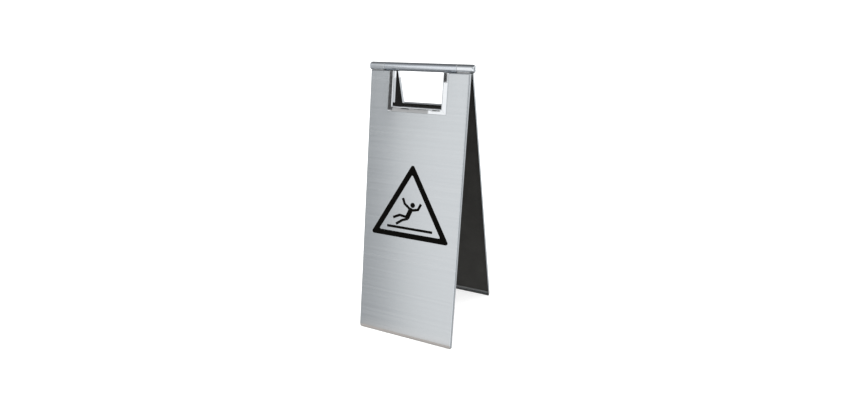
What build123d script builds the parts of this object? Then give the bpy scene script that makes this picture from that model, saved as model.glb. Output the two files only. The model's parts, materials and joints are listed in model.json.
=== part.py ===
from build123d import *
import os
from math import cos, radians, sin, sqrt

# Folding floor warning sign: two sheet-steel leaves that hinge on a carrying tube.
# Millimetres and degrees. The floor is z = 0, X runs along the tube, the front leaf stands towards -Y.

# Overall sizes
overall_height = 620.0
panel_width = 240.0
opening_angle = 23.0  # between the leaves when the sign stands open on its stop

# Tube along the top: a middle barrel between two end knuckles, each closed by a rounded cap
tube_diameter = 19.0
tube_wall = 1.5
tube_overhang = 8.0  # tube past the panel's edge at each end
end_length = 39.8  # from the tube's end to the seam beside the barrel
seam_chamfer = 0.4  # broken edge of the tube pieces on both sides of a seam
cap_head = 7.5
cap_round = 6.5

# Leaf pans, folded from sheet and open towards each other
sheet = 1.0
pan_depth = 9.5
bend_radius = 3.0  # outside of the folds
rim_offset = 1.5  # from the middle plane of the folded sign to a pan's rim
kick_height = 7.0  # lower border of the face, which comes in towards the foot
kick_depth = 2.0  # how far it comes in
tube_gap = 0.4  # between the tube and the top return that passes under it

# Hand opening under the tube, and the three mitred L-section strips of its polished trim
grip_width = 119.0
grip_bottom = 87.5  # clear edge of the opening, down the leaf from the hinge axis
trim_flange = 12.6  # width on the face, from the clear edge outwards
trim_thickness = 1.5
trim_roll = 2.8  # rounding from the flange into the opening
trim_edge = 0.6  # broken outer edge of the flange
trim_corner = 3.0  # rounded outer corners of the flange
trim_top_step = 0.3  # strips' upper ends below the top of the pan
mitre_gap = 0.2  # joint line between two strips

# Backing board stuck inside each pan
board_thickness = 2.0
board_gap = 0.5  # to the fold of the pan and to the trim

# Foot strip: a rubber sole stuck under the pan's lower return
foot_least = 1.2  # thickness at the pan's rim, from where it grows to the front
foot_margin = 1.5  # from the pan's ends
foot_chamfer = 0.3  # broken edges of the sole's ends

# Weld seats that carry the tube pieces on the pans' top returns
seat_inner = 2.0  # from the folded sign's middle plane
seat_outer = 6.5
seat_margin = 1.5  # from a tube piece's end, or from the trim

# Hinge inside the tube
shaft_diameter = 8.0
shaft_clearance = 0.05  # radial, between the shaft and the bushes it turns in
shaft_chamfer = 0.5
shaft_cover = 4.0  # end cap left outside the shaft's end
bush_length = 22.0  # inside the barrel
washer_thickness = 0.8
washer_step = 0.6  # washer below the tube's outside
end_play = 0.1  # between washer and knuckle
pin_diameter = 3.0
pin_depth = 2.5  # past the shaft's centre
pin_inset = 10.0  # from the end cap's head
pin_sink = 0.2  # below the tube's outside

# Opening stop: a dog on each bush runs in a notch of the end cap's spigot
dog_angle = 40.0
dog_length = 6.8
dog_side_gap = 0.5  # to the shaft and to the knuckle's bore
dog_end_gap = 1.0
stop_play = 0.3  # degrees left between dog and notch when the sign stands open
fold_spare = 3.0  # degrees left in the notch when the sign is folded

overcut = 1.0  # how far a cutter runs past the face it cuts

# Worked out from the sizes above
tube_radius = tube_diameter / 2
bore_radius = tube_radius - tube_wall
shaft_radius = shaft_diameter / 2
axis_height = overall_height - tube_radius
lean = opening_angle / 2
face_offset = rim_offset + pan_depth
pan_top = tube_radius + tube_gap
half_tube = panel_width / 2 + tube_overhang
barrel_half = half_tube - end_length - end_play - washer_thickness
bush_end = barrel_half + washer_thickness
knuckle_start = bush_end + end_play
knuckle_end = half_tube - cap_head
spigot_start = bush_end + dog_end_gap


def floor_below(offset):
    """Distance down a leaf from the hinge axis to the floor, at an offset from the middle plane."""
    return (axis_height + offset * sin(radians(lean))) / cos(radians(lean))


pan_bottom = floor_below(rim_offset) - foot_least
kick_offset = face_offset - kick_depth

# Every piece is drawn on a folded sign whose leaves hang straight down from a hinge axis on X,
# with the outer face towards -Y. Opening turns each half outwards and lifts the axis to its height.
lift = Pos(0, 0, axis_height)
front_place = lift * Rot(-lean, 0, 0)
rear_turn = lift * Rot(lean, 0, 0)
rear_place = rear_turn * Rot(0, 0, 180)


def leaf_plate(outline, offset, thickness):
    """A plate parallel to the face: an outline in X and Z, from an offset outwards."""
    return extrude(Plane.XZ.offset(offset) * outline, thickness, dir=(0, -1, 0))


def along_tube(section, start, end):
    """A section in Y and Z, run along the tube."""
    return extrude(Plane.YZ.offset(start) * section, end - start)


def ring_sector(start, end, inner, outer, first_angle, last_angle):
    """Part of a ring round the hinge axis. Angles count from straight up, towards the front leaf."""
    middle = Pos((start + end) / 2, (inner + outer) / 2)
    profile = Plane.XZ * middle * Rectangle(end - start, outer - inner)
    return Rot(first_angle, 0, 0) * revolve(profile, Axis.X, last_angle - first_angle)


def outer_face(solid):
    """The face of a leaf's piece that looks outwards."""
    return solid.faces().sort_by(Axis.Y)[0]


def grip_outline(grow):
    """The hand opening, drawn closed at the hinge axis and grown by so much all round."""
    return Pos(0, -grip_bottom / 2) * Rectangle(grip_width + 2 * grow, grip_bottom + 2 * grow)


def pan_block(rim, inset):
    """A pan as a solid block drawn in by an inset: face, kick and four returns, with its folds rounded."""
    corners = [(rim - inset, pan_top), (face_offset, pan_top), (face_offset, pan_bottom - kick_height)]
    corners += [(kick_offset, pan_bottom), (rim - inset, pan_bottom)]
    side_view = Polygon(*[(-out, -down) for out, down in corners], align=None)
    side_view = offset(side_view, -inset, kind=Kind.INTERSECTION)
    half_width = panel_width / 2 - inset
    block = along_tube(side_view, -half_width, half_width)
    cross_edges = block.edges().filter_by(Axis.Y, reverse=True).sort_by(Axis.Y)
    folds = cross_edges[:-4]  # all but the four edges of the rim
    return fillet(folds, bend_radius - inset)


def panel():
    """Sheet pan: face with a kick at its foot, four returns, and the hand opening cut through the top."""
    pan = pan_block(rim_offset, 0) - pan_block(rim_offset - overcut, sheet)
    return pan - leaf_plate(grip_outline(trim_thickness), 0, face_offset + overcut)


def trim_frame():
    """The trim in one piece, as a closed frame: a flange on the face and a wall through the pan."""
    wall = grip_outline(trim_thickness) - grip_outline(0)
    flange = fillet(grip_outline(trim_flange).vertices(), trim_corner) - grip_outline(0)
    frame = leaf_plate(wall, rim_offset, pan_depth) + leaf_plate(flange, face_offset, trim_thickness)
    frame = fillet(outer_face(frame).inner_wires()[0].edges(), trim_roll)
    return chamfer(outer_face(frame).outer_wire().edges(), trim_edge)


def trim_strips():
    """The right and the bottom strip, divided from the frame along its mitre and cut off under the tube."""
    inner = grip_width / 2
    reach = trim_flange + overcut
    outer = inner + reach
    low = grip_bottom + reach
    top = pan_top + trim_top_step
    back = mitre_gap / sqrt(2)
    right = [(inner, -top), (outer, -top), (outer, back - low), (inner, back - grip_bottom)]
    bottom_end = [(inner - back, -grip_bottom), (outer - back, -low)]
    bottom = bottom_end + [(-x, z) for x, z in reversed(bottom_end)]
    frame = trim_frame()
    depth = face_offset + trim_thickness + overcut
    return [frame & leaf_plate(Polygon(*corners, align=None), 0, depth) for corners in (right, bottom)]


def backing_board():
    """Board inside the pan, clear of its folds and its kick and cut out round the trim."""
    side_margin = bend_radius + board_gap
    top = pan_top + side_margin
    bottom = pan_bottom - kick_height - board_gap
    outline = Pos(0, -(top + bottom) / 2) * Rectangle(panel_width - 2 * side_margin, bottom - top)
    outline -= grip_outline(trim_thickness + board_gap)
    return leaf_plate(outline, face_offset - sheet - board_thickness, board_thickness)


def foot_strip():
    """Sole under a leaf, cut to the angle at which the open sign stands on the floor."""
    outer = kick_offset - bend_radius
    corners = [(rim_offset, pan_bottom), (outer, pan_bottom)]
    corners += [(outer, floor_below(outer)), (rim_offset, floor_below(rim_offset))]
    section = Polygon(*[(-out, -down) for out, down in corners], align=None)
    half_length = panel_width / 2 - foot_margin
    sole = along_tube(section, -half_length, half_length)
    upright_edges = outer_face(sole).edges().filter_by(Axis.Z)
    return chamfer(upright_edges, foot_chamfer)


def tube_piece(start, end, seats):
    """A length of tube with broken edges at its seams, and the weld seats that join it to a leaf."""
    rod = along_tube(Circle(tube_radius), start, end)
    end_circles = rod.edges().filter_by(GeomType.CIRCLE)
    seam_edges = end_circles.filter_by(lambda edge: edge.center().X < knuckle_end)
    tube = chamfer(seam_edges, seam_chamfer) - along_tube(Circle(bore_radius), start, end)
    seat_middle = Pos(-(seat_inner + seat_outer) / 2, -pan_top / 2)
    section = seat_middle * Rectangle(seat_outer - seat_inner, pan_top)
    section -= Circle(tube_radius - tube_wall / 2)
    for seat_start, seat_end in seats:
        tube += along_tube(section, seat_start, seat_end)
    return tube


def hinge_barrel():
    """Middle length of the tube, carried by the rear leaf's two arms: the carrying handle."""
    inner = grip_width / 2 + trim_thickness + seat_margin
    outer = barrel_half - seat_margin
    return tube_piece(-barrel_half, barrel_half, [(-outer, -inner), (inner, outer)])


def shaft_pin():
    """Right locking pin: straight up from below through knuckle, spigot and shaft."""
    low = tube_radius - pin_sink
    middle = Pos(knuckle_end - pin_inset, 0, (pin_depth - low) / 2)
    return middle * Cylinder(pin_diameter / 2, pin_depth + low)


def knuckle():
    """Right end length of the tube, carried by the front leaf's arm and drilled for its pin."""
    seat = (knuckle_start + seat_margin, panel_width / 2 - bend_radius)
    drill = shaft_pin() + Pos(0, 0, -tube_wall) * shaft_pin()
    return tube_piece(knuckle_start, knuckle_end, [seat]) - drill


def end_cap():
    """Right end cap: rounded head, spigot pressed in the knuckle, socket for the shaft, stop notch."""
    head = along_tube(Circle(tube_radius), knuckle_end, half_tube)
    head = fillet(head.edges().sort_by(Axis.X)[-1], cap_round)
    spigot = along_tube(Circle(bore_radius), spigot_start, knuckle_end)
    socket = along_tube(Circle(shaft_radius), spigot_start, knuckle_end - shaft_cover)
    notch = ring_sector(
        spigot_start,
        bush_end + dog_length + dog_end_gap,
        shaft_radius,
        bore_radius + overcut,
        -lean - dog_angle / 2 - fold_spare,
        lean + dog_angle / 2 + stop_play,
    )
    return head + spigot - socket - notch - shaft_pin()


def bush():
    """Right bush: bearing pressed in the barrel, with the stop dog on its outer end."""
    ring = Circle(bore_radius) - Circle(shaft_radius + shaft_clearance)
    dog = ring_sector(
        bush_end,
        bush_end + dog_length,
        shaft_radius + dog_side_gap,
        bore_radius - dog_side_gap,
        -lean - dog_angle / 2,
        -lean + dog_angle / 2,
    )
    return along_tube(ring, barrel_half - bush_length, bush_end) + dog


def thrust_washer():
    """Right thrust washer, on the bush between the barrel and the knuckle."""
    ring = Circle(tube_radius - washer_step) - Circle(bore_radius)
    return along_tube(ring, barrel_half, bush_end)


def hinge_shaft():
    """Shaft through the whole tube, held in the two end caps."""
    end = knuckle_end - shaft_cover
    shaft = along_tube(Circle(shaft_radius), -end, end)
    shaft = chamfer(shaft.edges().filter_by(GeomType.CIRCLE), shaft_chamfer)
    return shaft - shaft_pin() - mirror(shaft_pin(), Plane.YZ)


def leaf(name, place):
    """One leaf's own pieces, with left and right as seen by someone facing that leaf."""
    trim_right, trim_bottom = trim_strips()
    return {
        name + "_panel": place * panel(),
        name + "_trim_right": place * trim_right,
        name + "_trim_left": place * mirror(trim_right, Plane.YZ),
        name + "_trim_bottom": place * trim_bottom,
        name + "_backing_board": place * backing_board(),
        name + "_foot_strip": place * foot_strip(),
    }


def both_ends(name, piece, place):
    """A right-hand hinge piece and its mirror image at the left end of the tube."""
    return {
        "right_" + name: place * piece,
        "left_" + name: place * mirror(piece, Plane.YZ),
    }


pieces = {
    **leaf("front", front_place),
    **both_ends("knuckle", knuckle(), front_place),
    "end_caps": front_place * (end_cap() + mirror(end_cap(), Plane.YZ)),
    **both_ends("shaft_pin", shaft_pin(), front_place),
    "hinge_shaft": front_place * hinge_shaft(),
    **leaf("rear", rear_place),
    "hinge_barrel": rear_place * hinge_barrel(),
    **both_ends("bush", bush(), rear_turn),
    "thrust_washers": rear_turn * (thrust_washer() + mirror(thrust_washer(), Plane.YZ)),
}

os.makedirs("parts", exist_ok=True)
for node, piece in pieces.items():
    export_step(piece, "parts/" + node + ".step")
    print(node, round(piece.volume), "mm3")
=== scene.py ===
# %% [markdown]
# # A folding floor sign in brushed steel
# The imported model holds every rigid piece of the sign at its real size: two folded sheet leaves, a hinge
# tube along the top, polished trim round the hand opening and a rubber sole under each leaf. This lesson
# adds what the eye sees: the camera, a small studio, one finish for each material and the printed symbol.
# Everything is in metres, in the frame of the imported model, so nothing has to be fitted by eye.

# %% Load the frame
import json
import math

import bmesh
import bpy
from mathutils import Matrix, Quaternion, Vector


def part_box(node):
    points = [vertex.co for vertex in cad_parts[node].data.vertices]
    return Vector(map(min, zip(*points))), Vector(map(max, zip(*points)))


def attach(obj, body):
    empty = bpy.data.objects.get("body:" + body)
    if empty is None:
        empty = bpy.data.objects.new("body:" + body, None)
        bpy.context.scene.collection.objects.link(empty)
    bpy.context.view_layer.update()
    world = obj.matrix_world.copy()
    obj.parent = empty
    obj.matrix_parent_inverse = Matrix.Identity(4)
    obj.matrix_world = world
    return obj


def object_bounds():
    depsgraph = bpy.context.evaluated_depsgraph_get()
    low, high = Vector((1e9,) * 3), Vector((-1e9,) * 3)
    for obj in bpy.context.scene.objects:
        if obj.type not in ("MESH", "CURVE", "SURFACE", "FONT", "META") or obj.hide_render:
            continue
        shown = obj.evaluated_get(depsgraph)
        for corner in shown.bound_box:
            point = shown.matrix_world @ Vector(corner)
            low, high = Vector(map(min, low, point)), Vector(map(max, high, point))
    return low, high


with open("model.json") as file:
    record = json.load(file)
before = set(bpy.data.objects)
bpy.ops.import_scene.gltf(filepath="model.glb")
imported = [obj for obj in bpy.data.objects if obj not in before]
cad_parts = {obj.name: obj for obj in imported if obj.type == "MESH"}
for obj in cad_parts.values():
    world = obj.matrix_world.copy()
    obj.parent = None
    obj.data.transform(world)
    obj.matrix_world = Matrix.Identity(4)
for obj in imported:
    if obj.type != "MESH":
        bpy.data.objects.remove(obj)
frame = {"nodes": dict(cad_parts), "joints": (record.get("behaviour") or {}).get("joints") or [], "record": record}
cad_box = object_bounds()
nodes = frame["nodes"]
print("pieces in the frame:", len(nodes))
print("box:", [tuple(round(measure, 4) for measure in corner) for corner in cad_box])

# %% [markdown]
# ## Where things are
# Each leaf hangs from the hinge axis and leans outwards by half of the opening angle. A point on it is
# easiest to give as someone facing the leaf would: so far to the right, so far out from the middle plane,
# and so far down from the axis. The axis and the angle are read from the hinge joint and the outer face
# from the panel, because copied numbers would be wrong as soon as a size changes. The camera and the lights
# stand round the sign, so for them two angles are handier.

# %% Leaf coordinates and directions
FRONT, REAR = -1, 1  # the way a leaf looks along Y
hinge = frame["joints"][0]
hinge_axis = Vector(hinge["pos_m"])
lean = math.radians(hinge["range_deg"][1]) / 2
front_facing = Vector((0, -math.cos(lean), math.sin(lean)))  # square to the front leaf's face
front_vertices = nodes["front_panel"].data.vertices
face_out = max((vertex.co - hinge_axis).dot(front_facing) for vertex in front_vertices)


def leaf_point(side, right, out, down):
    """A point of the frame from a leaf's own coordinates, in metres."""
    along_y = out * math.cos(lean) + down * math.sin(lean)
    along_z = out * math.sin(lean) - down * math.cos(lean)
    return hinge_axis + Vector((-side * right, side * along_y, along_z))


def towards(azimuth, elevation):
    """Unit vector away from the sign, by degrees to the right of its front and degrees up."""
    turn = math.radians(azimuth)
    rise = math.radians(elevation)
    return Vector((math.sin(turn) * math.cos(rise), -math.cos(turn) * math.cos(rise), math.sin(rise)))


print("hinge axis at", round(hinge_axis[2], 4), "m, lean", round(math.degrees(lean), 2), "degrees")
print("outer face", round(face_out, 4), "m from the leaf's middle plane")

# %% [markdown]
# ## The camera
# A camera is a place, three turns and a focal length. Azimuth goes round the sign from its front, pitch
# looks down and roll tips the picture. The focal length is written in pixels of a picture 854 wide, because
# that is how it is measured from the sign's edges, and is turned into millimetres on Blender's sensor. A
# small shift moves the picture up without tipping the camera, as when a photograph is cropped. The turns
# could be Euler angles, but a matrix of the camera's own axes leaves no doubt about their order.

# %% Camera
PICTURE_WIDTH = 854
FOCAL_PIXELS = 552.2
PICTURE_SHIFT = 20  # pixels, upwards
CAMERA_PLACE = Vector((0.5468, -1.1010, 0.7620))
CAMERA_AZIMUTH, CAMERA_PITCH, CAMERA_ROLL = 26.11, 19.07, -1.53  # degrees


def make_camera():
    """The scene's camera. Its own axes point right, up, and back from what it looks at."""
    data = bpy.data.cameras.new("camera")
    data.lens = FOCAL_PIXELS * data.sensor_width / PICTURE_WIDTH
    data.shift_y = -PICTURE_SHIFT / PICTURE_WIDTH
    camera = bpy.data.objects.new("camera", data)
    bpy.context.scene.collection.objects.link(camera)
    back = towards(CAMERA_AZIMUTH, CAMERA_PITCH)
    right = towards(CAMERA_AZIMUTH + 90, 0)
    level = Matrix((right, back.cross(right), back)).transposed()
    tipped = level @ Matrix.Rotation(math.radians(CAMERA_ROLL), 3, "Z")
    camera.matrix_world = Matrix.Translation(CAMERA_PLACE) @ tipped.to_4x4()
    return camera


bpy.context.scene.camera = make_camera()
print("lens", round(bpy.context.scene.camera.data.lens, 2), "mm")

# %% [markdown]
# ## Building shader trees
# A node tree in Python is a long list of "make a node, set a value, draw a link". One helper takes all
# three: settings are given by name, and each input is either a value or the output socket of an earlier
# node. The others are short names for the nodes that are used most. A Mix node has sockets for every kind
# of data, several of them with the same name, so its sockets go by number.

# %% Node helpers
def place(tree, kind, inputs=None, **settings):
    """Add a shader node. An input's value is a number, a colour, a vector or a socket to link from."""
    node = tree.nodes.new("ShaderNode" + kind)
    for name, value in settings.items():
        setattr(node, name, value)
    for name, value in (inputs or {}).items():
        socket = node.inputs[name]
        if isinstance(value, bpy.types.NodeSocket):
            tree.links.new(value, socket)
        elif socket.type == "RGBA":
            socket.default_value = (*value, 1)
        else:
            socket.default_value = value
    return node


def vector_maths(tree, operation, *values):
    """Outputs of a Vector Math node on vectors or sockets."""
    return place(tree, "VectorMath", dict(enumerate(values)), operation=operation).outputs


def remap(tree, value, low, high, to_low, to_high):
    """Stretch a value from one range to another, held at both ends."""
    limits = {"Value": value, "From Min": low, "From Max": high, "To Min": to_low, "To Max": to_high}
    return place(tree, "MapRange", limits, clamp=True).outputs["Result"]


def mix_values(tree, mask, first, second):
    """One number where the mask is 0, the other where it is 1."""
    return place(tree, "Mix", {0: mask, 2: first, 3: second}, data_type="FLOAT").outputs[0]


print("node helpers ready")

# %% [markdown]
# ## The studio
# Steel shows its surroundings more than its own colour, so the studio is made for what the metal sees. The
# camera and matt surfaces see plain white. Reflections see a grey room that has darker and lighter round
# parts over a dark floor. A panorama of a real studio would do too, but a part with a known place, size and
# brightness can be moved until the one surface that mirrors it looks right.

# %% Room
ROOM_SHADE = 0.475
ROOM_TINT = (0.965, 1.0, 1.035)
DAYLIGHT = 1.1  # on matt surfaces
WHITE = (1.0, 1.0, 1.0)
# Parts of the room: azimuth from the front, elevation, angular radius, softness of the edge, brightness
ROOM_PARTS = {
    "left_wall": (-84.0, 2.0, 27.0, 8.0, 0.85),
    "right_wall": (46.0, -20.0, 31.0, 7.0, 1.15),
    "upper_right": (78.0, 38.0, 28.0, 8.0, 1.05),
    "far_right": (102.0, 5.0, 20.0, 6.0, 0.12),
    "upper_left": (-48.0, 36.0, 20.0, 6.0, 0.62),
    "ceiling": (180.0, 72.0, 44.0, 16.0, 0.16),
    "behind": (-154.0, 8.0, 34.0, 10.0, 0.3),
    "floor": (0.0, -90.0, 41.0, 14.0, 0.15),
    "low_at_right": (156.0, -16.0, 18.0, 6.0, 0.68),
}


def make_room():
    """White world for the camera and matt surfaces, and a grey room in parts for reflections."""
    world = bpy.data.worlds.new("studio_room")
    world.use_nodes = True
    world.cycles.sampling_method = "NONE"  # too even to be worth sampling as a light
    tree = world.node_tree
    tree.nodes.clear()
    looking = place(tree, "TexCoord").outputs["Generated"]
    shade = ROOM_SHADE
    for azimuth, elevation, radius, soft, brightness in ROOM_PARTS.values():
        nearness = vector_maths(tree, "DOT_PRODUCT", looking, towards(azimuth, elevation))["Value"]
        outer = math.cos(math.radians(radius + soft))
        inner = math.cos(math.radians(radius - soft))
        mask = remap(tree, nearness, outer, inner, 0, 1)
        shade = mix_values(tree, mask, shade, brightness)
    room = place(tree, "Background", {"Color": ROOM_TINT, "Strength": shade})
    white = place(tree, "Background", {"Color": WHITE, "Strength": DAYLIGHT})
    reflected = place(tree, "LightPath").outputs["Is Glossy Ray"]
    mixed = place(tree, "MixShader", {0: reflected, 1: white.outputs[0], 2: room.outputs[0]})
    place(tree, "OutputWorld", {"Surface": mixed.outputs[0]})
    return world


bpy.context.scene.world = make_room()
bpy.context.scene.view_settings.view_transform = "Standard"
print("parts of the room:", ", ".join(ROOM_PARTS))

# %% [markdown]
# ### Softboxes
# One softbox stands in front of the sign and one behind it. A glowing plane could do for each, but an area
# light leaves less noise. It comes on top of the room in every reflection. The front box ends inside the
# sheet's reflection, so the face falls from light to grey.

# %% Softboxes
LIGHT_CENTRE = Vector((0, 0, 0.4))
# Softboxes: azimuth and elevation of the middle, tilt, distance, width, height, brightness
SOFTBOXES = {
    "front_box": (-6.3, 4.5, 8.7, 3.2, 2.68, 4.5, 0.60),
    "rear_box": (140.0, 17.0, 0.0, 3.2, 2.4, 2.6, 0.45),
}


def make_softbox(name, azimuth, elevation, tilt, distance, width, height, brightness):
    """Rectangular area light that faces the sign. The camera doesn't see it, polished metal does."""
    data = bpy.data.lights.new(name, "AREA")
    data.shape = "RECTANGLE"
    data.size = width
    data.size_y = height
    data.energy = brightness * math.pi * width * height  # the power that makes the plate this bright
    box = bpy.data.objects.new(name, data)
    bpy.context.scene.collection.objects.link(box)
    direction = towards(azimuth, elevation)
    box.location = LIGHT_CENTRE + direction * distance
    facing = direction.to_track_quat("Z", "Y")
    box.rotation_euler = (facing @ Quaternion((0, 0, 1), math.radians(tilt))).to_euler()
    box.visible_camera = False
    return box


softboxes = [make_softbox(name, *values) for name, values in SOFTBOXES.items()]
print("softboxes:", [box.name for box in softboxes])

# %% [markdown]
# ### The floor
# The sign stands on a plain pale floor. A curved backdrop would show no more than one flat plate does here,
# because only the floor's tone and the soft shadow on it are seen. The plate glows a little, which keeps
# that shadow light. Reflections don't see it: the room has a floor of its own for them.

# %% Floor
FLOOR_SIZE = 16.0
FLOOR_SHADE = 0.93
FLOOR_GLOW = 0.55
PLATE_ROUGHNESS = 0.9


def stage_plate(name, corners, shade, glow):
    """A flat plate that belongs to the studio, with a grey of its own and a glow."""
    mesh = bpy.data.meshes.new(name)
    mesh.from_pydata(corners, [], [range(len(corners))])
    plate = bpy.data.objects.new(name, mesh)
    bpy.context.scene.collection.objects.link(plate)
    material = bpy.data.materials.new(name + "_finish")
    material.use_nodes = True
    shader = material.node_tree.nodes["Principled BSDF"]
    shader.inputs["Base Color"].default_value = (shade, shade, shade, 1)
    shader.inputs["Roughness"].default_value = PLATE_ROUGHNESS
    shader.inputs["Specular IOR Level"].default_value = 0.0
    shader.inputs["Emission Color"].default_value = (*glow, 1)
    shader.inputs["Emission Strength"].default_value = 1.0
    mesh.materials.append(material)
    print("plate:", name)
    return plate


edge = FLOOR_SIZE / 2
floor_corners = [(-edge, -edge, 0), (edge, -edge, 0), (edge, edge, 0), (-edge, edge, 0)]
floor = stage_plate("floor", floor_corners, FLOOR_SHADE, (FLOOR_GLOW, FLOOR_GLOW, FLOOR_GLOW))
floor.visible_glossy = False

# %% [markdown]
# ### Cards that only reflections see
# Product photographers hold up cards for single surfaces. The foot of each leaf mirrors the pale floor just
# in front of it, so a warm card lies there. The flat strips of the polished trim would mirror the same light
# as the face and vanish in it. Tones painted on them would look wrong from every other side, so each gets a
# card exactly where it looks: the corners of a part of the strip are mirrored away from the camera, and the
# card is spanned between the four rays. A dark one stands for the left strip and for the upper end of the
# right one. The lower strip has a grey one under a thin dark line.

# %% Cards
MM = 0.001  # metres
FLOOR_CARD_REACH = 0.035  # out from each sole
FLOOR_CARD_DEPTH = 0.0005  # below the floor
FLOOR_CARD_GLOW = (0.69, 0.63, 0.59)
STRIP_CARD_DISTANCE = 0.45
BLACK = 0.0
# Cards for strips of the trim: left and right end, top and bottom down the leaf in millimetres, brightness
STRIP_CARDS = {
    "left_strip_card": (-71.0, -59.5, 9.0, 98.0, 0.07),
    "lower_strip_card": (-62.0, 30.0, 92.0, 101.0, 0.47),
    "lower_line_card": (-62.0, 58.0, 88.0, 92.0, 0.04),
    "right_strip_card": (58.5, 70.0, 9.0, 31.0, 0.05),
}


def make_card(name, corners, glow):
    """A glowing plate that steel sees and the camera and matt surfaces don't."""
    card = stage_plate(name, corners, BLACK, glow)
    card.visible_camera = False
    card.visible_diffuse = False


def where_face_looks(right, down):
    """The point, a card's distance away, that the camera sees mirrored in a point of the front face."""
    point = leaf_point(FRONT, right * MM, face_out, down * MM)
    view = (CAMERA_PLACE - point).normalized()
    mirrored = 2 * view.dot(front_facing) * front_facing - view
    return point + mirrored * STRIP_CARD_DISTANCE


low, high = cad_box
for name, near in (("front_floor_card", low[1]), ("rear_floor_card", high[1])):
    far = near + math.copysign(FLOOR_CARD_REACH, near)
    outline = [(low[0], near), (high[0], near), (high[0], far), (low[0], far)]
    make_card(name, [(x, y, -FLOOR_CARD_DEPTH) for x, y in outline], FLOOR_CARD_GLOW)
for name, (left, right, top, bottom, shade) in STRIP_CARDS.items():
    outline = [(left, top), (right, top), (right, bottom), (left, bottom)]
    make_card(name, [where_face_looks(*corner) for corner in outline], (shade, shade, shade))

# %% [markdown]
# ## Effects that several finishes share
# Brushing, polishing, moulding and welding each leave their own marks, and each mark shows on more than one
# piece. Every material could have nodes of its own for them, but a node group is built once: a small tree
# with named sockets, placed in each material that needs it with that material's own values. All of them use
# object coordinates, which stay with a leaf when it swings.

# %% Group helpers
NOISE_RANGE = (0.3, 0.7)  # where nearly all values of a noise texture lie


def new_group(name, inputs, outputs):
    """An empty node group with float or vector inputs and float outputs, and its two end nodes."""
    group = bpy.data.node_groups.new(name, "ShaderNodeTree")
    for label, default in inputs.items():
        kind = "NodeSocketVector" if isinstance(default, tuple) else "NodeSocketFloat"
        group.interface.new_socket(label, in_out="INPUT", socket_type=kind).default_value = default
    for label in outputs:
        group.interface.new_socket(label, in_out="OUTPUT", socket_type="NodeSocketFloat")
    return group, group.nodes.new("NodeGroupInput"), group.nodes.new("NodeGroupOutput")


def use_group(tree, group, inputs):
    """Outputs of a node group, placed in a tree with this material's own values."""
    return place(tree, "Group", inputs, node_tree=group).outputs


def maths(tree, operation, *values):
    """Result of a Math node on numbers or sockets."""
    return place(tree, "Math", dict(enumerate(values)), operation=operation).outputs[0]


print("noise lies from", NOISE_RANGE[0], "to", NOISE_RANGE[1])

# %% [markdown]
# ### Brushed lines
# A brush leaves fine lines along one direction, and each of its passes leaves a broader band. A wave texture
# would repeat too evenly, so both are noise that is stretched out along the brush: the density is in lines
# per metre on each axis.

# %% Brushed lines group
SHEET_BRUSH = (14.0, 2600.0, 2600.0)  # lines per metre along X, Y and Z
BAND_DENSITY = 0.06  # bands for each line
LINE_RANGE = (0.25, 0.75)


def make_brushed_lines():
    """Fine lines, and the broad bands that passes of the brush leave among them."""
    group, given, result = new_group("Brushed lines", {"Density": SHEET_BRUSH}, ["Lines", "Bands"])
    spot = place(group, "TexCoord").outputs["Object"]
    stretched = vector_maths(group, "MULTIPLY", spot, given.outputs["Density"])["Vector"]
    fine = {"Vector": stretched, "Scale": 1.0, "Detail": 3.0, "Roughness": 0.7}
    broad = {"Vector": stretched, "Scale": BAND_DENSITY, "Detail": 3.0, "Roughness": 0.6}
    lines = place(group, "TexNoise", fine).outputs[0]
    bands = place(group, "TexNoise", broad).outputs[0]
    group.links.new(remap(group, lines, *LINE_RANGE, 0, 1), result.inputs["Lines"])
    group.links.new(remap(group, bands, *NOISE_RANGE, 0, 1), result.inputs["Bands"])
    return group


brushed_lines = make_brushed_lines()
print("group:", brushed_lines.name)

# %% [markdown]
# ### Polish swirl
# A buffing wheel never leaves a perfect mirror: slow waves bend the reflections, and a breath of haze stays
# behind. Single scratches would be too fine to see, so they are left out. One noise with few details gives
# the waves, and a finer one the haze.

# %% Polish swirl group
WAVE_DENSITY = 40.0  # waves per metre, unless a finish gives its own
HAZE_DENSITY = 6.0  # haze spots for each wave
HAZE_RANGE = (0.35, 0.7)


def make_polish_swirl():
    """Slow waves and a breath of haze left by the buffing wheel on mirror-bright metal."""
    group, given, result = new_group("Polish swirl", {"Density": WAVE_DENSITY}, ["Height", "Haze"])
    spot = place(group, "TexCoord").outputs["Object"]
    density = given.outputs["Density"]
    finer = maths(group, "MULTIPLY", density, HAZE_DENSITY)
    slow = {"Vector": spot, "Scale": density, "Detail": 1.5, "Distortion": 1.2}
    quick = {"Vector": spot, "Scale": finer, "Detail": 4.0, "Roughness": 0.65}
    wave = place(group, "TexNoise", slow).outputs[0]
    haze = place(group, "TexNoise", quick).outputs[0]
    group.links.new(wave, result.inputs["Height"])
    group.links.new(remap(group, haze, *HAZE_RANGE, 0, 1), result.inputs["Haze"])
    return group


polish_swirl = make_polish_swirl()
print("group:", polish_swirl.name)

# %% [markdown]
# ### Mottle
# Rubber, board, nylon and print are never one even tone. A cloudy noise changes the tone from place to
# place, and a much finer one is their grain. Painting this by hand would need texture coordinates on every
# piece, and noise needs none.

# %% Mottle group
CLOUD_DENSITY = 30.0  # clouds per metre, unless a finish gives its own
GRAIN_DENSITY = 40.0  # grains for each cloud


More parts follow.
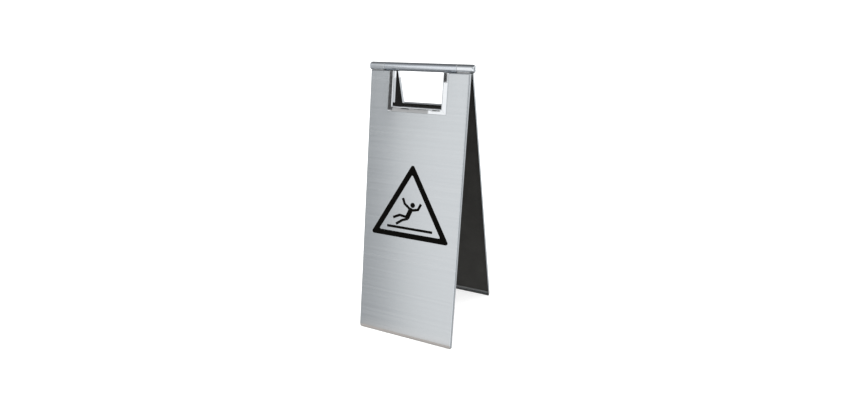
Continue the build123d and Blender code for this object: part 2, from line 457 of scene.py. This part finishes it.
def make_mottle():
    """Cloudy change of tone, and fine grain, for moulded and pressed materials."""
    group, given, result = new_group("Mottle", {"Density": CLOUD_DENSITY}, ["Cloud", "Grain"])
    spot = place(group, "TexCoord").outputs["Object"]
    density = given.outputs["Density"]
    finer = maths(group, "MULTIPLY", density, GRAIN_DENSITY)
    cloudy = {"Vector": spot, "Scale": density, "Detail": 5.0, "Roughness": 0.6}
    cloud = place(group, "TexNoise", cloudy).outputs[0]
    grain = place(group, "TexNoise", {"Vector": spot, "Scale": finer, "Detail": 2.0}).outputs[0]
    group.links.new(remap(group, cloud, *NOISE_RANGE, 0, 1), result.inputs["Cloud"])
    group.links.new(remap(group, grain, *NOISE_RANGE, 0, 1), result.inputs["Grain"])
    return group


mottle = make_mottle()
print("group:", mottle.name)

# %% [markdown]
# ### Weld seat
# Each length of the tube is welded to its leaf along a narrow seat that no polish reaches. The seat is part
# of the same piece as the tube, so it can't have a material slot of its own. It is told apart by distance:
# whatever stands further out from the axis than the tube's radius is seat.

# %% Weld seat group
TUBE_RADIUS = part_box("left_knuckle")[1][2] - hinge_axis[2]
SEAT_EDGE = (0.1 * MM, 0.6 * MM)  # outside the tube's round, from no seat to all seat
ACROSS_TUBE = (0.0, 1.0, 1.0)


def make_weld_seat():
    """0 on the round of the tube and 1 on what stands out of it, the seat that is welded to a leaf."""
    group, _, result = new_group("Weld seat", {}, ["Seat"])
    spot = place(group, "TexCoord").outputs["Object"]
    from_axis = vector_maths(group, "SUBTRACT", spot, hinge_axis)["Vector"]
    across = vector_maths(group, "MULTIPLY", from_axis, ACROSS_TUBE)["Vector"]
    distance = vector_maths(group, "LENGTH", across)["Value"]
    limits = [TUBE_RADIUS + margin for margin in SEAT_EDGE]
    group.links.new(remap(group, distance, *limits, 0, 1), result.inputs["Seat"])
    return group


weld_seat = make_weld_seat()
print("group:", weld_seat.name, "outside radius", round(TUBE_RADIUS, 4))

# %% [markdown]
# ## Finishes
# A finish is one material: a Principled shader with a tone, a gloss and a fine relief that all change a
# little over the surface. One function with many settings could make them all, but a function for each
# keeps its numbers beside it. Each finish is filed under the material slot that it is for. Depths of relief
# are real ones, in metres.

# %% Finish helpers
finishes = {}


def new_finish(name):
    """A material with its node tree and its Principled shader."""
    material = bpy.data.materials.new(name)
    material.use_nodes = True
    tree = material.node_tree
    return material, tree, tree.nodes["Principled BSDF"]


def feed(tree, shader, **sockets):
    """Link sockets to the shader's inputs, with underscores for the spaces in their names."""
    for name, socket in sockets.items():
        tree.links.new(socket, shader.inputs[name.replace("_", " ")])


def mix_colours(tree, mask, first, second):
    """One colour where the mask is 0, the other where it is 1."""
    return place(tree, "Mix", {0: mask, 6: first, 7: second}, data_type="RGBA").outputs[2]


def raise_surface(tree, height, depth):
    """A bump whose full height is the given depth in metres."""
    return place(tree, "Bump", {"Height": height, "Distance": depth, "Strength": 1.0}).outputs[0]


def keep(slot, material):
    """File a finish under its material slot."""
    finishes[slot] = material
    print("finish:", material.name)


print("finish helpers ready")

# %% [markdown]
# ### Metal with a grain
# On brushed steel a highlight spreads square to the grain. Modelling every scratch would be hopeless, so the
# shader does it: anisotropy stretches the highlight along a tangent. The tangent is the cross product of the
# surface's normal and the grain, with a little added so that it is never zero.

# %% Highlights across the grain
GRAIN_DIRECTION = (1.0, 0.0, 0.0)
SPARE_TANGENT = (0.0, 0.0, 0.01)  # for faces that look along the grain


def spread_across_grain(tree, shader, amount):
    """Stretch highlights square to the grain."""
    facing = place(tree, "NewGeometry").outputs["Normal"]
    square = vector_maths(tree, "CROSS_PRODUCT", facing, GRAIN_DIRECTION)["Vector"]
    tangent = vector_maths(tree, "ADD", square, SPARE_TANGENT)["Vector"]
    tree.links.new(tangent, shader.inputs["Tangent"])
    shader.inputs["Anisotropic"].default_value = amount


print("grain along", GRAIN_DIRECTION)

# %% [markdown]
# ### Painted shade inside the leaves
# The sheet is painted dull and dark where it looks inwards, as painted shade for the shade between the
# leaves. Inside and outside are one piece with one slot, so a second material can't be used, and a mask
# tells them apart: the side that a face looks to, and how deep in the leaf it is, past the bare edges of
# the rim. Less shade is painted at the foot.

# %% Painted shade mask
LOOKS_IN = (-0.9, -0.8)  # how far a face looks outwards, from inside to not inside
RIM_DEPTH = (2.0 * MM, 3.0 * MM)  # from the middle plane of the folded sign, past the rims' edges
LESS_SHADE_HEIGHT = (8.0 * MM, 9.0 * MM)  # above the floor, from less painted shade to full painted shade
FOOT_SHADE_SHARE = 0.7


def painted_shade_inside(tree):
    """Painted shade: 1 looking into the leaf, less at its foot, 0 on the outside and on the rim's edges."""
    coordinates = place(tree, "TexCoord").outputs
    spot = place(tree, "SeparateXYZ", {0: coordinates["Object"]}).outputs
    facing = place(tree, "SeparateXYZ", {0: coordinates["Normal"]}).outputs
    outward = maths(tree, "MULTIPLY", maths(tree, "SIGN", spot["Y"]), facing["Y"])
    inward = remap(tree, outward, *LOOKS_IN, 1, 0)
    drop = maths(tree, "SUBTRACT", spot["Z"], hinge_axis[2])
    lowered = maths(tree, "MULTIPLY", drop, math.sin(lean))
    reach = maths(tree, "ABSOLUTE", spot["Y"])
    depth = maths(tree, "MULTIPLY_ADD", reach, math.cos(lean), lowered)
    past_rim = remap(tree, depth, *RIM_DEPTH, 0, 1)
    # less painted shade at the foot
    thickness = remap(tree, spot["Z"], *LESS_SHADE_HEIGHT, FOOT_SHADE_SHARE, 1)
    return maths(tree, "MULTIPLY", maths(tree, "MULTIPLY", inward, past_rim), thickness)


print("glue from", RIM_DEPTH[0], "m inside the rim")

# %% [markdown]
# ### Brushed sheet
# The leaves are stainless sheet, brushed along their width. One even grey would be simpler, but it would
# look like paint. Lines and bands change the tone and the polish a little, and the lines are also a relief
# of a few thousandths of a millimetre. Most of the tone comes from the bands, because single lines are too
# fine to see from a few steps away.

# %% Brushed sheet
BAND_SHARE = 0.65
SHEET_TONES = ((0.59, 0.608, 0.621), (0.66, 0.677, 0.687))
SHEET_ROUGHNESS = (0.23, 0.28)
SHEET_SPREAD = 0.8
SHEET_LINE_DEPTH = 0.004 * MM
# painted shade on the sheet where it looks into the leaf, dark and dull
PAINTED_SHADE_GREY = (0.05, 0.05, 0.048)
PAINTED_SHADE_ROUGHNESS = 0.6


def brushed_sheet():
    """The leaves: stainless sheet with a fine brush along the width, with painted shade inside."""
    material, tree, shader = new_finish("brushed_sheet_finish")
    marks = use_group(tree, brushed_lines, {"Density": SHEET_BRUSH})
    tone = mix_values(tree, BAND_SHARE, marks["Lines"], marks["Bands"])
    steel = mix_colours(tree, tone, *SHEET_TONES)
    polish = remap(tree, tone, 0, 1, *SHEET_ROUGHNESS)
    painted_shade = painted_shade_inside(tree)
    spread_across_grain(tree, shader, SHEET_SPREAD)
    feed(
        tree,
        shader,
        Base_Color=mix_colours(tree, painted_shade, steel, PAINTED_SHADE_GREY),
        Roughness=mix_values(tree, painted_shade, polish, PAINTED_SHADE_ROUGHNESS),
        Metallic=maths(tree, "SUBTRACT", 1.0, painted_shade),
        Normal=raise_surface(tree, marks["Lines"], SHEET_LINE_DEPTH),
    )
    return material


keep("brushed_sheet", brushed_sheet())

# %% [markdown]
# ### Polished trim
# The strips round the hand opening are mirror-bright and a little wavy from buffing by hand. A perfect
# mirror would look like plastic film, so the swirl bends the reflections, and its haze softens them here
# and there.

# %% Polished trim
TRIM_SWIRL = 28.0  # waves per metre
TRIM_TONES = ((0.84, 0.85, 0.86), (0.82, 0.83, 0.84))
TRIM_ROUGHNESS = (0.03, 0.06)
TRIM_WAVE_DEPTH = 0.04 * MM


def polished_trim():
    """The strips round the hand opening: mirror-bright, a little wavy from buffing by hand."""
    material, tree, shader = new_finish("polished_trim_finish")
    swirl = use_group(tree, polish_swirl, {"Density": TRIM_SWIRL})
    shader.inputs["Metallic"].default_value = 1.0
    feed(
        tree,
        shader,
        Base_Color=mix_colours(tree, swirl["Haze"], *TRIM_TONES),
        Roughness=remap(tree, swirl["Haze"], 0, 1, *TRIM_ROUGHNESS),
        Normal=raise_surface(tree, swirl["Height"], TRIM_WAVE_DEPTH),
    )
    return material


keep("polished_trim", polished_trim())

# %% [markdown]
# ### Satin tube
# The middle of the hinge tube, where a hand carries the sign, is satin. The sheet's finish could be used
# again, but its lines are too coarse: the tube is brushed more finely, along its length. Hands leave
# smudges on it, and the haze of the polish swirl does for those. On its weld seat the finish turns grey and
# matt, which the tube's end lengths need as well, so that is a helper.

# %% Satin tube
WELD_GREY = (0.30, 0.30, 0.30)
WELD_ROUGHNESS = 0.5
SATIN_BRUSH = (25.0, 4000.0, 4000.0)  # lines per metre along X, Y and Z
SATIN_SMUDGES = 22.0  # per metre
SATIN_TONES = ((0.69, 0.72, 0.76), (0.75, 0.775, 0.81))
SATIN_ROUGHNESS = (0.17, 0.21)
SATIN_SPREAD = 0.3
SATIN_LINE_DEPTH = 0.0008 * MM


def dull_at_weld(tree, colour, roughness):
    """Colour and roughness of a piece of the tube, turned grey and matt on its weld seat."""
    seat = use_group(tree, weld_seat, {})["Seat"]
    greyed = mix_colours(tree, seat, colour, WELD_GREY)
    return {"Base_Color": greyed, "Roughness": mix_values(tree, seat, roughness, WELD_ROUGHNESS)}


def satin_tube():
    """The middle of the hinge tube, where a hand carries the sign: satin, with fine lines along it."""
    material, tree, shader = new_finish("satin_tube_finish")
    marks = use_group(tree, brushed_lines, {"Density": SATIN_BRUSH})
    smudge = use_group(tree, polish_swirl, {"Density": SATIN_SMUDGES})
    shader.inputs["Metallic"].default_value = 1.0
    spread_across_grain(tree, shader, SATIN_SPREAD)
    colour = mix_colours(tree, marks["Lines"], *SATIN_TONES)
    roughness = remap(tree, smudge["Haze"], 0, 1, *SATIN_ROUGHNESS)
    relief = raise_surface(tree, marks["Lines"], SATIN_LINE_DEPTH)
    feed(tree, shader, Normal=relief, **dull_at_weld(tree, colour, roughness))
    return material


keep("satin_tube", satin_tube())

# %% [markdown]
# ### Polished tube ends
# The end lengths of the tube and their rounded caps are polished. They could share the trim's finish, but
# they are a little hazier, and round pieces need only a small wave to break up what they reflect.

# %% Polished tube ends
END_SWIRL = 60.0  # waves per metre
END_TONES = ((0.80, 0.82, 0.84), (0.76, 0.78, 0.80))
END_ROUGHNESS = (0.08, 0.12)
END_WAVE_DEPTH = 0.008 * MM


def polished_tube():
    """The end lengths of the tube and their rounded caps: polished, with faint haze."""
    material, tree, shader = new_finish("polished_tube_finish")
    swirl = use_group(tree, polish_swirl, {"Density": END_SWIRL})
    shader.inputs["Metallic"].default_value = 1.0
    colour = mix_colours(tree, swirl["Haze"], *END_TONES)
    roughness = remap(tree, swirl["Haze"], 0, 1, *END_ROUGHNESS)
    relief = raise_surface(tree, swirl["Height"], END_WAVE_DEPTH)
    feed(tree, shader, Normal=relief, **dull_at_weld(tree, colour, roughness))
    return material


keep("polished_tube", polished_tube())

# %% [markdown]
# ### Turned steel
# The shaft and its pins are bright bar with the fine rings that a lathe leaves. Cut into the mesh, they
# would take thousands of faces. But rings are only brushed lines that go round instead of along: the density
# is high along the bar and low across it. The pins stand across the tube, so their rings run the other way,
# and they get a finish of their own.

# %% Turned steel
RINGS_ALONG_TUBE = (3200.0, 30.0, 30.0)  # per metre along X, Y and Z
RINGS_ALONG_PIN = (30.0, 700.0, 3200.0)
TURNED_TONES = ((0.50, 0.50, 0.50), (0.62, 0.62, 0.61))
TURNED_ROUGHNESS = (0.22, 0.34)
RING_DEPTH = 0.006 * MM


def turned_steel(name, density):
    """The shaft and its pins: bright bar with the rings that a lathe leaves."""
    material, tree, shader = new_finish(name)
    marks = use_group(tree, brushed_lines, {"Density": density})
    shader.inputs["Metallic"].default_value = 1.0
    feed(
        tree,
        shader,
        Base_Color=mix_colours(tree, marks["Lines"], *TURNED_TONES),
        Roughness=remap(tree, marks["Lines"], 0, 1, *TURNED_ROUGHNESS),
        Normal=raise_surface(tree, marks["Lines"], RING_DEPTH),
    )
    return material


keep("turned_steel", turned_steel("turned_shaft_finish", RINGS_ALONG_TUBE))
pin_finish = turned_steel("turned_pin_finish", RINGS_ALONG_PIN)
print("finish:", pin_finish.name)

# %% [markdown]
# ### Backing board
# Inside each leaf is a dark board that shows from the side. It is not a metal, so its colour is its own.
# In one flat tone it would look like a hole, so clouds change the tone a little and the grain changes the
# gloss.

# %% Backing board
BOARD_CLOUDS = 18.0  # per metre
BOARD_TONES = ((0.025, 0.024, 0.022), (0.035, 0.034, 0.031))
BOARD_ROUGHNESS = (0.65, 0.85)
BOARD_GRAIN_DEPTH = 0.06 * MM
BOARD_GLOSS = 0.25


def backing_board():
    """Dark pressed board, dull, with a faint cloudy tone."""
    material, tree, shader = new_finish("backing_board_finish")
    marks = use_group(tree, mottle, {"Density": BOARD_CLOUDS})
    shader.inputs["Specular IOR Level"].default_value = BOARD_GLOSS
    feed(
        tree,
        shader,
        Base_Color=mix_colours(tree, marks["Cloud"], *BOARD_TONES),
        Roughness=remap(tree, marks["Grain"], 0, 1, *BOARD_ROUGHNESS),
        Normal=raise_surface(tree, marks["Grain"], BOARD_GRAIN_DEPTH),
    )
    return material


keep("black_board", backing_board())

# %% [markdown]
# ### Rubber sole
# Each leaf stands on a grey rubber sole, which is paler with dust where it meets the floor. The dust could
# be a second material, but then its edge would be a hard line. Here it fades with height, and clouds make
# the edge uneven.

# %% Rubber sole
SCUFF_HEIGHT = 1.5 * MM
CLEAN_SHARE, CLOUD_SHARE = 0.75, 0.25  # what height and clouds do for the cleanness
SOLE_CLOUDS = 55.0  # per metre
SOLE_TONES = ((0.42, 0.40, 0.38), (0.36, 0.345, 0.33))  # dusty, clean
SOLE_ROUGHNESS = (0.6, 0.8)
SOLE_GRAIN_DEPTH = 0.04 * MM
SOLE_GLOSS = 0.3


def rubber_sole():
    """Grey rubber, paler with dust where it meets the floor."""
    material, tree, shader = new_finish("rubber_sole_finish")
    marks = use_group(tree, mottle, {"Density": SOLE_CLOUDS})
    spot = place(tree, "TexCoord").outputs["Object"]
    above = place(tree, "SeparateXYZ", {0: spot}).outputs["Z"]
    clean = remap(tree, above, 0, SCUFF_HEIGHT, 0, CLEAN_SHARE)
    uneven = maths(tree, "MULTIPLY_ADD", marks["Cloud"], CLOUD_SHARE, clean)
    shader.inputs["Specular IOR Level"].default_value = SOLE_GLOSS
    feed(
        tree,
        shader,
        Base_Color=mix_colours(tree, uneven, *SOLE_TONES),
        Roughness=remap(tree, marks["Cloud"], 0, 1, *SOLE_ROUGHNESS),
        Normal=raise_surface(tree, marks["Grain"], SOLE_GRAIN_DEPTH),
    )
    return material


keep("grey_foot", rubber_sole())

# %% [markdown]
# ### Nylon
# The bushes and thrust washers in the tube are grey moulded nylon. Nylon lets a little light in, which
# subsurface scattering could show. So little of it is seen, though, that clouds in the tone and the gloss
# and a very fine grain are all it needs.

# %% Nylon
NYLON_CLOUDS = 80.0  # per metre
NYLON_TONES = ((0.26, 0.26, 0.26), (0.34, 0.34, 0.34))
NYLON_ROUGHNESS = (0.35, 0.5)
NYLON_GRAIN_DEPTH = 0.01 * MM


def nylon():
    """Bushes and thrust washers: grey moulded nylon."""
    material, tree, shader = new_finish("nylon_finish")
    marks = use_group(tree, mottle, {"Density": NYLON_CLOUDS})
    feed(
        tree,
        shader,
        Base_Color=mix_colours(tree, marks["Cloud"], *NYLON_TONES),
        Roughness=remap(tree, marks["Cloud"], 0, 1, *NYLON_ROUGHNESS),
        Normal=raise_surface(tree, marks["Grain"], NYLON_GRAIN_DEPTH),
    )
    return material


keep("nylon", nylon())

# %% [markdown]
# ### Printed film
# The symbol is screen-printed in black. Pure black would never catch the light, so the ink is nearly black,
# with a faint gloss that is a little uneven.

# %% Printed film
INK_CLOUDS = 120.0  # per metre
INK_TONES = ((0.0018, 0.0016, 0.0011), (0.0030, 0.0027, 0.0020))
INK_ROUGHNESS = (0.42, 0.55)
INK_GRAIN_DEPTH = 0.005 * MM
INK_GLOSS = 0.03


def symbol_film():
    """Screen-printed symbol: a thin, nearly black film."""
    material, tree, shader = new_finish("symbol_film_finish")
    marks = use_group(tree, mottle, {"Density": INK_CLOUDS})
    shader.inputs["Specular IOR Level"].default_value = INK_GLOSS
    feed(
        tree,
        shader,
        Base_Color=mix_colours(tree, marks["Cloud"], *INK_TONES),
        Roughness=remap(tree, marks["Cloud"], 0, 1, *INK_ROUGHNESS),
        Normal=raise_surface(tree, marks["Grain"], INK_GRAIN_DEPTH),
    )
    return material


keep("symbol_film", symbol_film())

# %% [markdown]
# ## Finish every piece of the frame
# The record says which material slot each node takes, so the finishes that are filed by slot dress the whole
# sign in one loop. A list of pieces by hand would have to be kept in step with the model.

# %% Dress the nodes
for subpart in frame["record"]["subparts"]:
    node = subpart["node"]
    finish = pin_finish if node.endswith("pin") else finishes[subpart["material_slot"]]
    nodes[node].material_slots[0].material = finish
    print(node, "->", finish.name)

# %% [markdown]
# ## The printed symbol
# The sign warns of a slippery floor with the common triangle and falling figure. They could be painted into
# the sheet's material, but a thin film with real edges stays sharp from any distance. Each piece is drawn
# flat, in millimetres, with x to the right and y up from the triangle's base, and raised to the thickness of
# the print.

# %% Film
FILM_THICKNESS = 0.15  # millimetres, as every size of the symbol


def raise_film(name, shape):
    """Raise flat faces to the film's thickness and link them as an object."""
    raised = bmesh.ops.extrude_face_region(shape, geom=shape.faces[:])["geom"]
    top = [item for item in raised if isinstance(item, bmesh.types.BMVert)]
    bmesh.ops.translate(shape, verts=top, vec=(0, 0, FILM_THICKNESS))
    bmesh.ops.recalc_face_normals(shape, faces=shape.faces[:])
    mesh = bpy.data.meshes.new(name)
    shape.to_mesh(mesh)
    shape.free()
    film = bpy.data.objects.new(name, mesh)
    bpy.context.scene.collection.objects.link(film)
    return film


print("film", FILM_THICKNESS, "mm thick")

# %% [markdown]
# ### Triangle
# The triangle is a band with rounded corners, drawn by its sharp side and a corner radius. A bevelled curve
# could make it, but then the outer corners would decide the inner ones, which have a radius of their own.
# One face can't have a hole, so faces are bridged between two outlines that have as many points each.

# %% Triangle
TRIANGLE_SIDE = 200.0
TRIANGLE_BAND = 12.7
OUTER_CORNER, INNER_CORNER = 5.0, 2.2
TRIANGLE_MIDDLE = Vector((0, TRIANGLE_SIDE / (2 * math.sqrt(3))))
CORNER_STEPS = 10


def around(middle, radius, degrees):
    """The point of a circle at an angle."""
    angle = math.radians(degrees)
    return Vector(middle) + radius * Vector((math.cos(angle), math.sin(angle)))


def rounded_triangle(side, radius):
    """Points round an equilateral triangle with rounded corners."""
    reach = side / math.sqrt(3) - 2 * radius
    points = []
    for bearing in (90, 210, 330):
        corner = around(TRIANGLE_MIDDLE, reach, bearing)
        turns = [bearing - 60 + 120 * step / CORNER_STEPS for step in range(CORNER_STEPS + 1)]
        points += [around(corner, radius, turn) for turn in turns]
    return points


def triangle(name):
    """A film between the outer and the inner outline."""
    shape = bmesh.new()
    outside = [shape.verts.new((*point, 0)) for point in outer]
    inside = [shape.verts.new((*point, 0)) for point in inner]
    for index in range(len(outer)):
        following = (index + 1) % len(outer)
        shape.faces.new((outside[index], outside[following], inside[following], inside[index]))
    return raise_film(name, shape)


inner_side = TRIANGLE_SIDE - 2 * math.sqrt(3) * TRIANGLE_BAND
outer = rounded_triangle(TRIANGLE_SIDE, OUTER_CORNER)
inner = rounded_triangle(inner_side, INNER_CORNER)
print("triangle with", len(outer), "points outside and", len(inner), "inside")

# %% [markdown]
# ### Line of the floor
# The floor in the symbol is one straight bar, and the figure's body and limbs are bent ones. Each could be a
# list of outline points, but a middle line and a width are easier to move. The outline is the middle line
# offset to both sides, with mitred bends and square ends.

# %% Floor line
GROUND_LINE = [(-57.8, 23.4), (57.4, 23.4)]
GROUND_WIDTH = 5.9


def stroke(line, width):
    """Outline of a bent bar round its middle line."""
    points = [Vector(point) for point in line]
    runs = [(after - before).normalized() for before, after in zip(points, points[1:])]
    offsets = []
    for index in range(len(points)):
        before = runs[max(index - 1, 0)]
        after = runs[min(index, len(runs) - 1)]
        mitre = (before + after).normalized().orthogonal()
        offsets.append(mitre * (width / 2) / mitre.dot(after.orthogonal()))
    left = [point + offset for point, offset in zip(points, offsets)]
    right = [point - offset for point, offset in zip(points, offsets)]
    return right + left[::-1]


def solid_film(name, outline):
    """A film inside one outline."""
    shape = bmesh.new()
    shape.faces.new([shape.verts.new((*point, 0)) for point in outline])
    return raise_film(name, shape)


def ground_line(name):
    """A straight bar for the floor."""
    return solid_film(name, stroke(GROUND_LINE, GROUND_WIDTH))


print("floor line", GROUND_WIDTH, "mm thick")

# %% [markdown]
# ### Falling figure
# The figure falls back with both arms thrown up, and both legs slip away to the left. Its strokes overlap.
# Left as they are, their faces would lie in each other and flicker, so a Boolean union makes one clean
# outline of them all.

# %% Figure
LIMB, TORSO = 6.0, 11.2  # widths of the strokes
FIGURE = [
    ([(1.6, 69.6), (-7.7, 47.3)], TORSO),
    ([(-20.4, 92.4), (-15.4, 79.8), (-2.6, 70.2), (6.7, 67.2), (19.0, 70.2), (25.6, 83.8)], LIMB),
    ([(-6.0, 49.2), (-26.6, 52.2), (-43.2, 44.6)], LIMB),
    ([(-5.0, 46.4), (-20.0, 40.8), (-34.8, 30.2)], LIMB),
]


def figure(name):
    """One film from the overlapping strokes, joined by Boolean modifiers."""
    parts = [solid_film(name + "_stroke", stroke(line, width)) for line, width in FIGURE]
    base = parts[0]
    for part in parts[1:]:
        join = base.modifiers.new("join", "BOOLEAN")
        join.operation = "UNION"
        join.solver = "EXACT"
        join.object = part
    bpy.context.view_layer.update()
    joined = base.evaluated_get(bpy.context.evaluated_depsgraph_get())
    mesh = bpy.data.meshes.new_from_object(joined)
    mesh.name = name
    for part in parts:
        bpy.data.objects.remove(part)
    film = bpy.data.objects.new(name, mesh)
    bpy.context.scene.collection.objects.link(film)
    return film


print("figure of", len(FIGURE), "strokes")

# %% [markdown]
# ### Head
# The head is a disc apart from the body. Blender could add it as a ready-made circle, but points from the
# same helper as the triangle's corners go through the same steps as the rest.

# %% Head
HEAD = (5.0, 78.6)
HEAD_RADIUS = 5.9
HEAD_STEPS = 40


def figure_head(name):
    """A round film for the head."""
    turns = [360 * step / HEAD_STEPS for step in range(HEAD_STEPS)]
    return solid_film(name, [around(HEAD, HEAD_RADIUS, turn) for turn in turns])


print("head", 2 * HEAD_RADIUS, "mm across")

# %% [markdown]
# ### On both leaves
# Both leaves carry the same symbol. Each film could be an object that is turned into place, but moving its
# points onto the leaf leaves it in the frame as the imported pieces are, with its own origin at the frame's.
# Then it rides on that leaf.

# %% Lay the symbol on the leaves
TRIANGLE_BASE_DOWN = 385.1  # from the hinge axis down the leaf
FILM_SINK = 0.02  # the film's back below the sheet's surface
SYMBOL = {"triangle": triangle, "figure": figure, "figure_head": figure_head, "ground_line": ground_line}


def lay_on_leaf(film, side, body):
    """Move a flat film's points onto a leaf's outer face, and let it ride there."""
    for vertex in film.data.vertices:
        x, y, z = vertex.co
        out = face_out + (z - FILM_SINK) * MM
        vertex.co = leaf_point(side, x * MM, out, (TRIANGLE_BASE_DOWN - y) * MM)
    film.data.materials.clear()
    film.data.materials.append(finishes["symbol_film"])
    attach(film, body)
    print(film.name, "with", len(film.data.polygons), "faces")


for side, leaf in ((FRONT, "front"), (REAR, "rear")):
    for label, draw in SYMBOL.items():
        lay_on_leaf(draw(leaf + "_" + label), side, leaf + "_leaf")
